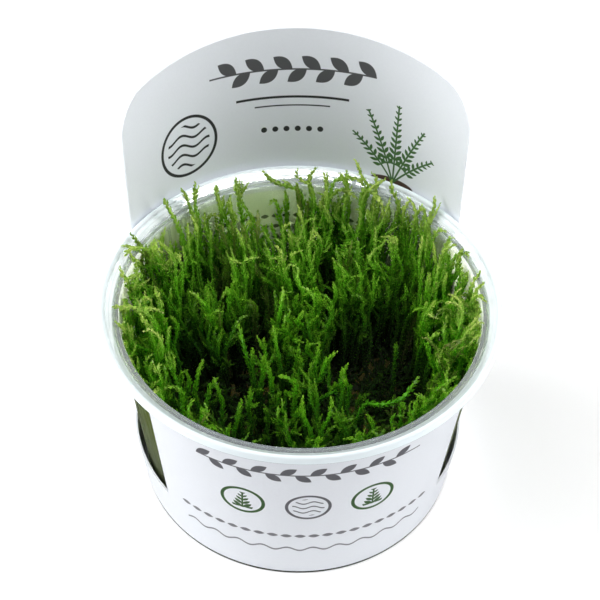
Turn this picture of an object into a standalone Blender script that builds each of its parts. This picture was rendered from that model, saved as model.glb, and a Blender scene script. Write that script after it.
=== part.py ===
"""Tissue culture moss in a clear tapered cup with a printed card sleeve.

Metres, +Z up. The origin is the middle of the cup's flat foot, and the front of the sleeve
faces -Y. Azimuths are degrees about +Z from the front towards +X, so the back is at 180.
"""

import math
import random

import bmesh
import bpy
from mathutils import Matrix, Vector

MM = 0.001
COLLECTION = "tissue_culture_moss"

# The clear cup: radii at the table and the slope of its side, then the steps up to the rim
CUP_HEIGHT = 58.5 * MM
CUP_BASE_RADIUS = 39.9 * MM
CUP_TAPER = 0.1116
CUP_WALL = 0.8 * MM
CUP_FLOOR = 1.0 * MM
FOOT_ROUND = 2.5 * MM
INNER_ROUND = 2.0 * MM
STEP_LOW = 47.3 * MM
STEP_HIGH = 49.2 * MM
NECK_RADIUS = 45.2 * MM
NECK_STEP = 0.5 * MM
NECK_TOP = 54.0 * MM
COLLAR_RADIUS = 46.7 * MM
COLLAR_BOTTOM = 55.7 * MM
RIM_RADIUS = 50.0 * MM
RIM_ROUND = 0.5 * MM
SKIRT_DEPTH = 2.5 * MM
ROUND_STEPS = 3
TURN_STEPS = 48

# The growth gel on the cup's floor
GEL_TOP = 9.0 * MM
GAP = 0.3 * MM

# The card sleeve: one cone of card with a front panel, two side windows and a tall back panel
CARD = 0.5 * MM
SLEEVE_BASE_RADIUS = 40.8 * MM
SLEEVE_BOTTOM = 0.8 * MM
BAND_TOP = 14.5 * MM
FRONT_TAPER = 0.111
FRONT_TOP = 54.0 * MM
FRONT_HALF_ANGLE = 53.4
FRONT_CORNER = 3.5 * MM
BACK_TAPER = 0.174
BACK_TOP = 98.0 * MM
BACK_HALF_ANGLE = 57.2
BACK_CORNER = 8.0 * MM
BACK_ARCH_RADIUS = 164.0 * MM
SLEEVE_TURN = 4.0
PANEL_COLUMNS = 20
SIDE_COLUMNS = 10
CORNER_STEPS = 4

# The moss: tufts in rings, all spreading with the taper of the cup
TUFT_SIDES = 8
TUFT_BASE = GEL_TOP + GAP
TUFT_SQUARENESS = 0.6
ROOT_SHARE = 0.3
UPWARD = 0.9
LOCK_INSET = 0.44
LOCK_WAIST = 0.72
SHORTEST_LOCK = 0.7
SWAY = 0.3 * MM
TIP_SWAY = 0.9 * MM

# Each ring: radius, half width along the ring, half depth across it, and the height of each
# tuft's tallest tip in millimetres from the front round by the right, the back and the left
WALL_RING = (35.8 * MM, 5.7 * MM, 3.6 * MM,
             (46, 45, 47, 50, 57, 59, 60, 61, 66, 66, 65, 66, 66, 60, 59, 53, 49, 46))
MIDDLE_RING = (25.2 * MM, 5.7 * MM, 6.2 * MM,
               (44, 44, 38, 24, 18, 55, 58, 58, 50, 32, 48, 44))
INNER_RING = (11.9 * MM, 6.0 * MM, 5.9 * MM, (48, 24, 52, 22, 47))
CENTRE_TUFT = (0.0, 4.7 * MM, 4.7 * MM, (50,))
INNER_START = 36.0


def clear_scene():
    for old in list(bpy.data.objects):
        bpy.data.objects.remove(old, do_unlink=True)


def parts_collection():
    made = bpy.data.collections.new(COLLECTION)
    bpy.context.scene.collection.children.link(made)
    return made


def finish(name, colour, roughness, transmission=0.0, ior=1.5):
    """A Principled material with one colour."""
    made = bpy.data.materials.new(name)
    made.use_nodes = True
    shader = made.node_tree.nodes["Principled BSDF"]
    shader.inputs["Base Color"].default_value = (*colour, 1.0)
    shader.inputs["Roughness"].default_value = roughness
    shader.inputs["Metallic"].default_value = 0.0
    shader.inputs["Transmission Weight"].default_value = transmission
    shader.inputs["IOR"].default_value = ior
    return made


def add_object(name, mesh, material, collection):
    made = bpy.data.objects.new(name, mesh)
    mesh.materials.append(material)
    collection.objects.link(made)
    return made


def cup_outside(height):
    """Outer radius of the cup's side below the stacking step."""
    return CUP_BASE_RADIUS + CUP_TAPER * height


def cup_inside(height):
    return cup_outside(height) - CUP_WALL


def arc(centre, radius, start, end):
    """Points along an arc of the profile, angles in degrees from the radial direction."""
    for step in range(ROUND_STEPS + 1):
        angle = math.radians(start + (end - start) * step / ROUND_STEPS)
        yield (centre[0] + radius * math.cos(angle), centre[1] + radius * math.sin(angle))


def cup_profile():
    """The cup's section, from the middle of the floor up the inside, over the rim and down."""
    inner_centre = (cup_inside(CUP_FLOOR + INNER_ROUND) - INNER_ROUND, CUP_FLOOR + INNER_ROUND)
    foot_centre = (cup_outside(FOOT_ROUND) - FOOT_ROUND, FOOT_ROUND)
    rim_centre = (RIM_RADIUS - RIM_ROUND, CUP_HEIGHT - RIM_ROUND)
    skirt_bottom = CUP_HEIGHT - SKIRT_DEPTH
    skirt_inside = RIM_RADIUS - CUP_WALL
    neck_low = cup_inside(STEP_LOW) + NECK_STEP
    lip_step = (COLLAR_RADIUS - NECK_RADIUS) / 3
    yield (0.0, CUP_FLOOR)
    yield from arc(inner_centre, INNER_ROUND, -90, 0)
    yield (cup_inside(STEP_LOW), STEP_LOW)
    yield (neck_low, STEP_HIGH)
    yield (NECK_RADIUS, NECK_TOP)
    yield (NECK_RADIUS + lip_step, COLLAR_BOTTOM - lip_step)
    yield (COLLAR_RADIUS, COLLAR_BOTTOM)
    yield from arc(rim_centre, RIM_ROUND, 135, 0)
    yield (RIM_RADIUS, skirt_bottom)
    yield (skirt_inside, skirt_bottom)
    yield (skirt_inside, CUP_HEIGHT - 2 * CUP_WALL)
    yield (NECK_RADIUS + 2 * CUP_WALL, NECK_TOP + CUP_WALL)
    yield (NECK_RADIUS + CUP_WALL, NECK_TOP - CUP_WALL)
    yield (neck_low + CUP_WALL, STEP_HIGH)
    yield (cup_outside(STEP_LOW), STEP_LOW)
    yield from arc(foot_centre, FOOT_ROUND, 0, -90)
    yield (0.0, 0.0)


def gel_profile():
    """The gel's section, from the middle of its top out to the wall and back underneath."""
    bottom = CUP_FLOOR + GAP
    round_height = bottom + INNER_ROUND
    round_centre = (cup_inside(round_height) - GAP - INNER_ROUND, round_height)
    yield (0.0, GEL_TOP)
    yield (cup_inside(GEL_TOP) - GAP, GEL_TOP)
    yield from arc(round_centre, INNER_ROUND, 0, -90)
    yield (0.0, bottom)


def turned(name, profile, material, collection):
    """A profile swept round the Z axis by a Screw modifier."""
    mesh = bpy.data.meshes.new(name)
    points = [(radius, 0.0, height) for radius, height in profile]
    edges = [(i, i + 1) for i in range(len(points) - 1)]
    mesh.from_pydata(points, edges, [])
    made = add_object(name, mesh, material, collection)
    screw = made.modifiers.new("Turned", "SCREW")
    screw.axis = "Z"
    screw.angle = 2 * math.pi
    screw.steps = TURN_STEPS
    screw.render_steps = TURN_STEPS
    screw.use_merge_vertices = True
    screw.merge_threshold = 1e-5
    return made


def sleeve_inside(azimuth, height):
    """Inner radius of the card, steeper at the back, where it stands outside the cup's rim."""
    from_front = abs((azimuth - SLEEVE_TURN + 180.0) % 360.0 - 180.0)
    side = (from_front - FRONT_HALF_ANGLE) / (180.0 - FRONT_HALF_ANGLE - BACK_HALF_ANGLE)
    share = min(max(side, 0.0), 1.0)
    smooth = share * share * (3.0 - 2.0 * share)
    taper = FRONT_TAPER + (BACK_TAPER - FRONT_TAPER) * smooth
    return SLEEVE_BASE_RADIUS + taper * height


def corner_drop(offset, half_width, corner):
    """How far a rounded corner lies below the panel's top at this distance from its middle."""
    past = abs(offset) - (half_width - corner)
    if past <= 0.0:
        return 0.0
    return corner - math.sqrt(max(corner * corner - past * past, 0.0))


def panel_shares(corner_share):
    """Places across a panel from -1 to 1, evenly spaced and closer together on its corners."""
    flat = 1.0 - corner_share
    corners = [flat + corner_share * math.sin(math.radians(90.0 * step / CORNER_STEPS))
               for step in range(CORNER_STEPS + 1)]
    middle = [flat * (2.0 * step / PANEL_COLUMNS - 1.0) for step in range(1, PANEL_COLUMNS)]
    return [-share for share in reversed(corners)] + middle + corners


def front_column(share):
    """Azimuth and the three upper heights of a column of the front panel."""
    half_width = math.radians(FRONT_HALF_ANGLE) * (SLEEVE_BASE_RADIUS + FRONT_TAPER * FRONT_TOP)
    top = FRONT_TOP - corner_drop(share * half_width, half_width, FRONT_CORNER)
    azimuths = [share * FRONT_HALF_ANGLE] * 4
    return azimuths, (BAND_TOP, top, top)


def back_column(share):
    """Above the rim the tall panel keeps its width, so its azimuths close in with height."""
    rim_level = CUP_HEIGHT - SKIRT_DEPTH
    rim_radius = SLEEVE_BASE_RADIUS + BACK_TAPER * rim_level
    half_width = math.radians(BACK_HALF_ANGLE) * rim_radius
    offset = share * half_width
    arch = BACK_ARCH_RADIUS - math.sqrt(BACK_ARCH_RADIUS ** 2 - offset ** 2)
    top = BACK_TOP - arch - corner_drop(offset, half_width, BACK_CORNER)
    top_radius = SLEEVE_BASE_RADIUS + BACK_TAPER * top
    azimuths = [180.0 + share * BACK_HALF_ANGLE] * 3
    azimuths.append(180.0 + share * BACK_HALF_ANGLE * rim_radius / top_radius)
    return azimuths, (BAND_TOP, rim_level, top)


def side_columns(start, end):
    """Columns of the low band under a side window."""
    for step in range(1, SIDE_COLUMNS):
        azimuth = start + (end - start) * step / SIDE_COLUMNS
        yield [azimuth] * 4, (BAND_TOP, BAND_TOP, BAND_TOP)


def sleeve(material, collection):
    """A grid of card bent round the cup, with the windows left out and the card thickened."""
    front_half_width = math.radians(FRONT_HALF_ANGLE) * sleeve_inside(SLEEVE_TURN, FRONT_TOP)
    back_half_width = math.radians(BACK_HALF_ANGLE) * sleeve_inside(180.0, CUP_HEIGHT)
    front = [front_column(share) for share in panel_shares(FRONT_CORNER / front_half_width)]
    back = [back_column(share) for share in panel_shares(BACK_CORNER / back_half_width)]
    right = list(side_columns(FRONT_HALF_ANGLE, 180.0 - BACK_HALF_ANGLE))
    left = list(side_columns(180.0 + BACK_HALF_ANGLE, 360.0 - FRONT_HALF_ANGLE))
    first = ([azimuth + 360.0 for azimuth in front[0][0]], front[0][1])
    columns = front + right + back + left + [first]
    back_start = len(front) + len(right)
    rows = 3
    bm = bmesh.new()
    bmesh.ops.create_grid(bm, x_segments=len(columns) - 1, y_segments=rows, size=1.0)
    for face in list(bm.faces):
        middle = face.calc_center_median()
        column = int((middle.x + 1.0) / 2.0 * (len(columns) - 1))
        row = int((middle.y + 1.0) / 2.0 * rows)
        in_front = column < len(front) - 1
        in_back = back_start <= column < back_start + len(back) - 1
        kept = row == 0 or (in_front and row == 1) or in_back
        if not kept:
            bm.faces.remove(face)
    bmesh.ops.delete(bm, geom=[v for v in bm.verts if not v.link_faces], context="VERTS")
    for vert in bm.verts:
        azimuths, heights = columns[round((vert.co.x + 1.0) / 2.0 * (len(columns) - 1))]
        row = round((vert.co.y + 1.0) / 2.0 * rows)
        height = SLEEVE_BOTTOM if row == 0 else heights[row - 1]
        azimuth = azimuths[row] + SLEEVE_TURN
        radius = sleeve_inside(azimuth, height)
        angle = math.radians(azimuth)
        vert.co = (radius * math.sin(angle), -radius * math.cos(angle), height)
    bmesh.ops.remove_doubles(bm, verts=bm.verts, dist=1e-6)
    mesh = bpy.data.meshes.new("sleeve")
    bm.to_mesh(mesh)
    bm.free()
    made = add_object("sleeve", mesh, material, collection)
    card = made.modifiers.new("Card", "SOLIDIFY")
    card.thickness = CARD
    card.offset = 1.0
    card.use_even_offset = True
    return made


def spread(height):
    """How much wider the cup is at this height than at the foot of the moss."""
    return cup_inside(height) / cup_inside(TUFT_BASE)


def draw_out(bm, faces, rise, narrow, sway, rng):
    """Extrudes each face by its own rise, and narrows and sways its end."""
    ends = bmesh.ops.extrude_discrete_faces(bm, faces=faces)["faces"]
    for face, height in zip(ends, rise):
        middle = face.calc_center_median()
        drift = Vector((rng.uniform(-sway, sway), rng.uniform(-sway, sway), height))
        for vert in face.verts:
            vert.co = middle + (vert.co - middle) * narrow + drift
    return ends


def squared(place):
    """Pushes a point of a round section out towards its corners."""
    return math.copysign(abs(place) ** TUFT_SQUARENESS, place)


def moss_tuft(name, azimuth, ring, tip_height, seed, material, collection):
    """An eight-sided root that divides into nine pointed locks of shoots."""
    radius, half_width, half_depth = ring
    rng = random.Random(seed)
    root = ROOT_SHARE * (tip_height - TUFT_BASE)
    bm = bmesh.new()
    bmesh.ops.create_cone(bm, cap_ends=True, segments=TUFT_SIDES, radius1=1.0, radius2=1.0,
                          depth=1.0, matrix=Matrix.Translation((0.0, 0.0, 0.5)))
    bm.normal_update()
    crown = [face for face in bm.faces if face.normal.z > UPWARD]
    bmesh.ops.inset_region(bm, faces=crown, thickness=LOCK_INSET, use_even_offset=True)
    bm.normal_update()
    locks = [face for face in bm.faces if face.normal.z > UPWARD]
    for vert in bm.verts:
        vert.co = Vector((squared(vert.co.x) * half_width, squared(vert.co.y) * half_depth,
                          vert.co.z * root))
    longest = tip_height - TUFT_BASE - root
    rises = [longest * rng.uniform(SHORTEST_LOCK, 1.0) for _ in locks]
    rises[rng.randrange(len(rises))] = longest
    halves = [rise / 2 for rise in rises]
    waists = draw_out(bm, locks, halves, LOCK_WAIST, SWAY, rng)
    tips = draw_out(bm, waists, halves, LOCK_WAIST, TIP_SWAY, rng)
    for tip in tips:
        bmesh.ops.pointmerge(bm, verts=tip.verts, merge_co=tip.calc_center_median())
    turn = Matrix.Rotation(math.radians(azimuth), 3, "Z")
    for vert in bm.verts:
        height = TUFT_BASE + vert.co.z
        flat = turn @ Vector((vert.co.x, vert.co.y - radius, 0.0)) * spread(height)
        vert.co = (flat.x, flat.y, height)
    mesh = bpy.data.meshes.new(name)
    bm.to_mesh(mesh)
    bm.free()
    return add_object(name, mesh, material, collection)


def moss_ring(label, ring, start, material, collection):
    """The tufts of one ring, numbered from the front round by the right."""
    radius, half_width, half_depth, tip_heights = ring
    for number, tip_height in enumerate(tip_heights, start=1):
        azimuth = start + 360.0 * (number - 1) / len(tip_heights)
        moss_tuft(f"moss_{label}_{number:02d}", azimuth, (radius, half_width, half_depth),
                  tip_height * MM, f"{label} {number}", material, collection)


def main():
    clear_scene()
    collection = parts_collection()
    clear_plastic = finish("clear_plastic", (0.93, 0.95, 0.94), 0.12, 0.9, 1.49)
    white_card = finish("white_card", (0.86, 0.87, 0.9), 0.4)
    clear_gel = finish("clear_gel", (0.86, 0.86, 0.74), 0.1, 0.8, 1.34)
    green_moss = finish("green_moss", (0.1, 0.27, 0.03), 0.65)
    cup = turned("cup", cup_profile(), clear_plastic, collection)
    cup.data.shade_smooth()
    turned("growth_gel", gel_profile(), clear_gel, collection)
    sleeve(white_card, collection)
    moss_ring("wall", WALL_RING, 0.0, green_moss, collection)
    moss_ring("middle", MIDDLE_RING, 0.0, green_moss, collection)
    moss_ring("inner", INNER_RING, INNER_START, green_moss, collection)
    moss_ring("centre", CENTRE_TUFT, 0.0, green_moss, collection)


main()
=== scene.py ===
"""Looks of the tissue culture moss in its cup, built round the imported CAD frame.

Metres, +Z up, with the origin in the middle of the cup's foot and the front towards -Y. The
sections follow the object as it is put together: cup, gel, moss, card sleeve, then the studio.
"""

import math

import bmesh
import bpy
import numpy as np
from mathutils import Matrix, Vector


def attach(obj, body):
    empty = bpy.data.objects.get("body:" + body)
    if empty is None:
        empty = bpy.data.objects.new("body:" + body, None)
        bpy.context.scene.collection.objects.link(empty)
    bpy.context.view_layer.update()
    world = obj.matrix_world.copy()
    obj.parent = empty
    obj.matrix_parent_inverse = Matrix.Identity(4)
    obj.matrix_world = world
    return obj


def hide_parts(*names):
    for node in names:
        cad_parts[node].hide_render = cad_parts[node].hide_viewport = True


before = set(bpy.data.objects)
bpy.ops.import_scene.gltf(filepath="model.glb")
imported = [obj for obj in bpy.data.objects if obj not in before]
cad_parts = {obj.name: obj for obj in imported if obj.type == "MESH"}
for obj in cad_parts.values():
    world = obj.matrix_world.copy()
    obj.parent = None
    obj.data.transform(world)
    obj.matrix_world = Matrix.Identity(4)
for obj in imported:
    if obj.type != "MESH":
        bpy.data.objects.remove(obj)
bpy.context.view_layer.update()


# The clear cup
# One injection-moulded piece of clear, faintly milky plastic: a flat foot, a tapered wall, a low
# stacking step, and a sloping collar with fine moulded rings that turns down into the skirt.

MM = 0.001
CUP_HEIGHT = 58.5
CUP_BASE_RADIUS = 39.9
CUP_TAPER = 0.1116
CUP_WALL = 0.8
CUP_FLOOR = 1.0
FOOT_ROUND = 2.5
INNER_ROUND = 2.0
STEP_LOW = 47.3
STEP_HIGH = 49.2
NECK_RADIUS = 45.2
NECK_STEP = 0.5
NECK_TOP = 54.0
WALL_TOP = 54.2
COLLAR_RADIUS = 46.9
COLLAR_BOTTOM = 56.5
LEDGE_RADIUS = 45.5
LEDGE_HEIGHT = 56.45
RIM_RADIUS = 50.0
RIM_ROUND = 0.5
SKIRT_DEPTH = 2.5
SKIRT_EDGE_ROUND = 0.15
# Points that round the lip of the neck into the ledge, and the groove along the ledge
LEDGE_ROUND = ((45.25, 56.2), (45.38, 56.42))
GROOVE_HALF_WIDTH = 0.2
GROOVE_DEPTH = 0.06
# The fine rings: their places up the collar as shares of it, and their rounded section
COLLAR_RINGS = (0.3, 0.62)
RING_SECTION = ((-1.15, 0.0), (-1.0, 0.0), (-0.5, 0.8), (0.0, 1.0), (0.5, 0.8), (1.0, 0.0),
                (1.15, 0.0))
RING_HEIGHT = 0.035
RING_SHARE = 0.06
# A point this far in and along from a crease keeps its shading crisp
CREASE_IN = 0.02
CREASE_ALONG = 0.3
SPIN_STEPS = 192
ARC_STEPS = 6
MERGE_DISTANCE = 1e-6
CREASE_ANGLE = 30.0
PLASTIC_IOR = 1.58
HAZE_SIZE = 0.008
HAZE_DEPTH = 0.0000025
# Radii and heights, in metres, between which a look of the plastic sets in or fades out
# Painted shade: a thin dark line along the lower edge of the skirt, at these radii and heights
SKIRT_RADII = (0.0484, 0.0488)
SKIRT_UNDER = (0.05615, 0.05625)
# Painted shade: dark lines on the collar at these radii, with their weights, in place of the
# shading of its moulded rings
RING_PAINTED_SHADE = ((0.0469, 0.55), (0.0462, 0.2), (0.0455, 0.35), (0.0477, 0.2))
RING_PAINTED_SHADE_EDGE = (0.00004, 0.00016)
LEDGE_RISE = (0.0560, 0.0563)
# Painted shade low on the wall, behind the card band, fading out upwards
FOOT_PAINTED_SHADE_LOW = (0.009, 0.012)
FOOT_PAINTED_SHADE_HIGH = (0.020, 0.038)
FOOT_PAINTED_SHADE = 0.85
# Painted shade on the back of the wall, where the card behind it stands in shade
BACK_PAINTED_SHADE_REACH = (0.018, 0.034)
BACK_PAINTED_SHADE_HIGH = (0.0562, 0.0570)
BACK_PAINTED_SHADE = 0.27
MILKY_SKIRT = (0.0484, 0.0492)
MILKY_SLOPE = (0.0468, 0.0472)
MILKY_RISE = (0.0545, 0.0556)
CLEAR_NECK_HEIGHTS = (0.0555, 0.0562)
CLEAR_NECK_RADII = (0.0462, 0.0468)
STREAK_SIZE = 0.003
STREAK_RANGE = (0.3, 0.7)
FILM_SIDES = (0.020, 0.036)
GREEN_FILM_HIGH = (0.053, 0.0555)
GREEN_FILM_LOW = (0.036, 0.045)
WET_FILM_HIGH = (0.044, 0.049)
WALL_TINT = (0.87, 0.98, 0.66)
# The colour of the painted shade on the wall
WALL_PAINTED_SHADE = (0.26, 0.32, 0.1)


class Value:
    """A shader socket that can be written into plain maths."""

    def __init__(self, finish, socket):
        self.finish = finish
        self.socket = socket

    def maths(self, operation, *inputs):
        return self.finish.node("ShaderNodeMath", {"operation": operation}, *inputs)

    def __add__(self, other):
        return self.maths("ADD", self, other)

    def __sub__(self, other):
        return self.maths("SUBTRACT", self, other)

    def __rsub__(self, other):
        return self.maths("SUBTRACT", other, self)

    def __mul__(self, other):
        return self.maths("MULTIPLY", self, other)

    def __truediv__(self, other):
        return self.maths("DIVIDE", self, other)

    def __pow__(self, other):
        return self.maths("POWER", self, other)

    def __mod__(self, other):
        return self.maths("FLOORED_MODULO", self, other)

    def __lt__(self, other):
        return self.maths("LESS_THAN", self, other)

    def __abs__(self):
        return self.maths("ABSOLUTE", self)

    __radd__ = __add__

    def ramp(self, low, high):
        """0 below low and 1 above high, with a smooth rise between them."""
        settings = {"interpolation_type": "SMOOTHSTEP"}
        return self.finish.node("ShaderNodeMapRange", settings, self, low, high, 0.0, 1.0)

    def most(self, other):
        return self.maths("MAXIMUM", self, other)


class Finish:
    """A node material with one Principled shader."""

    def __init__(self, name):
        self.material = bpy.data.materials.new(name)
        self.material.use_nodes = True
        self.tree = self.material.node_tree
        self.shader = self.tree.nodes["Principled BSDF"]
        self.output = self.tree.nodes["Material Output"]

    def node(self, kind, settings=None, *inputs, output=0, **named):
        """Adds a node: its settings first, then the values or links of its sockets."""
        made = self.tree.nodes.new(kind)
        for key, value in (settings or {}).items():
            if key == "stops":
                self.set_stops(made.color_ramp.elements, value)
            else:
                setattr(made, key, value)
        sockets = list(zip(made.inputs, inputs))
        sockets += [(made.inputs[key], value) for key, value in named.items()]
        for socket, value in sockets:
            self.feed(socket, value)
        return Value(self, made.outputs[output])

    def set_stops(self, elements, stops):
        for place, _ in stops[len(elements):]:
            elements.new(place)
        for element, (place, colour) in zip(elements, stops):
            element.position = place
            element.color = (*colour, 1.0)

    def feed(self, socket, value):
        if isinstance(value, Value):
            self.tree.links.new(value.socket, socket)
        elif value is not None:
            socket.default_value = value

    def surface(self, **sockets):
        """Sets the Principled shader's sockets, with underscores for their spaces."""
        for key, value in sockets.items():
            self.feed(self.shader.inputs[key.replace("_", " ")], value)

    def place(self, scale=(1.0, 1.0, 1.0)):
        """Object coordinates in metres, stretched by scale."""
        held = self.node("ShaderNodeTexCoord", output="Object")
        return self.node("ShaderNodeMapping", None, held, Scale=scale)

    def parts(self, vector):
        """The three numbers of a vector."""
        split = self.node("ShaderNodeSeparateXYZ", None, vector).socket.node
        return [Value(self, socket) for socket in split.outputs]

    def noise(self, where, size, detail=2.0):
        """Noise with features about size metres across."""
        return self.node("ShaderNodeTexNoise", {"noise_dimensions": "3D"}, Vector=where,
                         Scale=1.0 / size, Detail=detail)

    def mixed(self, share, first, second):
        """A colour between first and second."""
        colours = [(*colour, 1.0) if isinstance(colour, tuple) else colour
                   for colour in (first, second)]
        # The colour sockets come after the five that are for numbers and vectors
        return self.node("ShaderNodeMix", {"data_type": "RGBA"}, share, *[None] * 5, *colours,
                         output=2)

    def cover(self, share, colour, kind="ShaderNodeBsdfDiffuse"):
        """Mixes that share of a plain shader of another kind over the Principled one."""
        over = self.node(kind, None, colour)
        clear = Value(self, self.shader.outputs[0])
        self.feed(self.output.inputs["Surface"],
                  self.node("ShaderNodeMixShader", None, share, clear, over))

    def relief(self, height, depth):
        """Feeds a height pattern to the shader as a bump of that depth."""
        self.surface(Normal=self.node("ShaderNodeBump", None, Height=height, Distance=depth,
                                      Strength=1.0))


def from_middle(across, along):
    return (across * across + along * along) ** 0.5


def arc(centre, radius, start, end):
    """Points of a section along an arc, angles in degrees from the outward direction."""
    for step in range(ARC_STEPS + 1):
        angle = math.radians(start + (end - start) * step / ARC_STEPS)
        yield (centre[0] + radius * math.cos(angle), centre[1] + radius * math.sin(angle))


def cup_inside(height):
    return CUP_BASE_RADIUS + CUP_TAPER * height - CUP_WALL


def collar_rings(low, high):
    """The sloping collar between two points, with its fine rings standing up from it."""
    run, rise = high[0] - low[0], high[1] - low[1]
    length = math.hypot(run, rise)
    for middle in COLLAR_RINGS:
        for share, lift in RING_SECTION:
            along = middle + share * RING_SHARE
            yield (low[0] + run * along - rise / length * RING_HEIGHT * lift,
                   low[1] + rise * along + run / length * RING_HEIGHT * lift)


def cup_section():
    """The cup's section in millimetres, up the inside, over the rim and down the outside."""
    corner = (cup_inside(CUP_FLOOR + INNER_ROUND) - INNER_ROUND, CUP_FLOOR + INNER_ROUND)
    foot = (cup_inside(FOOT_ROUND) + CUP_WALL - FOOT_ROUND, FOOT_ROUND)
    rim = (RIM_RADIUS - RIM_ROUND, CUP_HEIGHT - RIM_ROUND)
    skirt_bottom = CUP_HEIGHT - SKIRT_DEPTH
    skirt_inside = RIM_RADIUS - CUP_WALL
    neck_low = cup_inside(STEP_LOW) + NECK_STEP
    groove = (COLLAR_RADIUS + LEDGE_RADIUS) / 2
    collar_low = (COLLAR_RADIUS, COLLAR_BOTTOM)
    rim_points = list(arc(rim, RIM_ROUND, 135, 0))
    yield (0.0, CUP_FLOOR)
    yield from arc(corner, INNER_ROUND, -90, 0)
    yield (cup_inside(STEP_LOW) - CREASE_IN, STEP_LOW - CREASE_ALONG)
    yield (cup_inside(STEP_LOW), STEP_LOW)
    yield (neck_low, STEP_HIGH)
    yield (neck_low + CREASE_IN, STEP_HIGH + CREASE_ALONG)
    yield (NECK_RADIUS, NECK_TOP)
    yield from LEDGE_ROUND
    yield (LEDGE_RADIUS, LEDGE_HEIGHT)
    yield (groove - GROOVE_HALF_WIDTH, LEDGE_HEIGHT)
    yield (groove, LEDGE_HEIGHT - GROOVE_DEPTH)
    yield (groove + GROOVE_HALF_WIDTH, LEDGE_HEIGHT)
    yield collar_low
    yield from collar_rings(collar_low, rim_points[0])
    yield from rim_points
    yield (RIM_RADIUS, skirt_bottom + SKIRT_EDGE_ROUND)
    yield (RIM_RADIUS - SKIRT_EDGE_ROUND, skirt_bottom)
    yield (skirt_inside + SKIRT_EDGE_ROUND, skirt_bottom)
    yield (skirt_inside, skirt_bottom + SKIRT_EDGE_ROUND)
    yield (skirt_inside, CUP_HEIGHT - 2 * CUP_WALL)
    yield (NECK_RADIUS + 2 * CUP_WALL, NECK_TOP + CUP_WALL)
    yield (NECK_RADIUS + CUP_WALL, NECK_TOP - CUP_WALL)
    yield (neck_low + CUP_WALL, STEP_HIGH)
    yield (cup_inside(STEP_LOW) + CUP_WALL, STEP_LOW)
    yield from arc(foot, FOOT_ROUND, 0, -90)
    yield (0.0, 0.0)


def spun(name, section):
    """A solid spun round the Z axis from its half section, which starts and ends on the axis."""
    section = list(section)
    bpy.ops.object.select_all(action="DESELECT")
    bpy.ops.mesh.primitive_circle_add(vertices=len(section), radius=MM, fill_type="NOTHING")
    piece = bpy.context.object
    piece.name = piece.data.name = name
    for vert, (radius, height) in zip(piece.data.vertices, section):
        vert.co = (radius * MM, 0.0, height * MM)
    bpy.ops.object.mode_set(mode="EDIT")
    bpy.ops.mesh.select_all(action="SELECT")
    bpy.ops.mesh.spin(steps=SPIN_STEPS, angle=math.tau, center=(0, 0, 0), axis=(0, 0, 1))
    bpy.ops.mesh.select_all(action="SELECT")
    bpy.ops.mesh.remove_doubles(threshold=MERGE_DISTANCE)
    bpy.ops.mesh.normals_make_consistent(inside=False)
    bpy.ops.object.mode_set(mode="OBJECT")
    bpy.ops.object.shade_smooth_by_angle(angle=math.radians(CREASE_ANGLE))
    return piece


def clear_plastic(name, tint, dark, cover, cover_colour, dulling):
    """Clear plastic under a cover, which gives its share from the place. Edges take the dark:
    painted shade along the skirt's edge and the collar's rings, low on the wall and at its back.
    """
    finish = Finish(name)
    haze = finish.noise(finish.place((1.0, 1.0, 0.35)), HAZE_SIZE, 3.0)
    across, along, height = finish.parts(finish.place())
    radius = from_middle(across, along)
    # Painted shade: the edge mask starts along the skirt's lower edge and gathers every darkening
    # painted on the plastic
    edge = radius.ramp(*SKIRT_RADII) * (1.0 - height.ramp(*SKIRT_UNDER))
    # Painted shade lines along the collar's rings, above the ledge
    for ring, weight in RING_PAINTED_SHADE:
        line = 1.0 - abs(radius - ring).ramp(*RING_PAINTED_SHADE_EDGE)
        edge = edge.most(line * height.ramp(*LEDGE_RISE) * weight)
    # Painted shade low on the wall
    foot = height.ramp(*FOOT_PAINTED_SHADE_LOW) * (1.0 - height.ramp(*FOOT_PAINTED_SHADE_HIGH))
    # Painted shade on the back of the wall
    back = along.ramp(*BACK_PAINTED_SHADE_REACH) * (1.0 - height.ramp(*BACK_PAINTED_SHADE_HIGH))
    edge = edge.most(foot * FOOT_PAINTED_SHADE).most(back * BACK_PAINTED_SHADE)
    share = cover(finish, across, radius, height) + haze * 0.06
    finish.surface(Base_Color=finish.mixed(edge, tint, dark),
                   Transmission_Weight=1.0, IOR=PLASTIC_IOR,
                   Roughness=haze * 0.05 + share * dulling + 0.02)
    finish.relief(haze, HAZE_DEPTH)
    # The cover thins where the shade is painted, so that the dark shows
    finish.cover(share * (1.0 - edge * 0.8), cover_colour)
    return finish.material


def milky_rim(finish, across, radius, height):
    """The skirt is whiter than the collar inside it, and the neck is clearer."""
    rise = height.ramp(*MILKY_RISE)
    skirt = radius.ramp(*MILKY_SKIRT) * rise
    slope = radius.ramp(*MILKY_SLOPE) * rise
    neck = 1.0 - height.ramp(*CLEAR_NECK_HEIGHTS).most(radius.ramp(*CLEAR_NECK_RADII))
    return skirt * 0.6 + slope * 0.1 + 0.2 - neck * 0.12


def stained(finish, across, below, most, least):
    """Wet moss stains the sides of the wall in upright streaks."""
    streaks = finish.noise(finish.place((1.0, 1.0, 0.12)), STREAK_SIZE, 3.0).ramp(*STREAK_RANGE)
    return abs(across).ramp(*FILM_SIDES) * below * (streaks * (most - least) + least)


def green_film(finish, across, radius, height):
    """The stain shows through the wall's outside, thicker low down."""
    low = 1.0 - height.ramp(*GREEN_FILM_LOW)
    return stained(finish, across, 1.0 - height.ramp(*GREEN_FILM_HIGH), 0.7, low * 0.13 + 0.12)


def wet_film(finish, across, radius, height):
    """The moss touches the wall from inside."""
    return stained(finish, across, 1.0 - height.ramp(*WET_FILM_HIGH), 0.9, 0.45)


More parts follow.
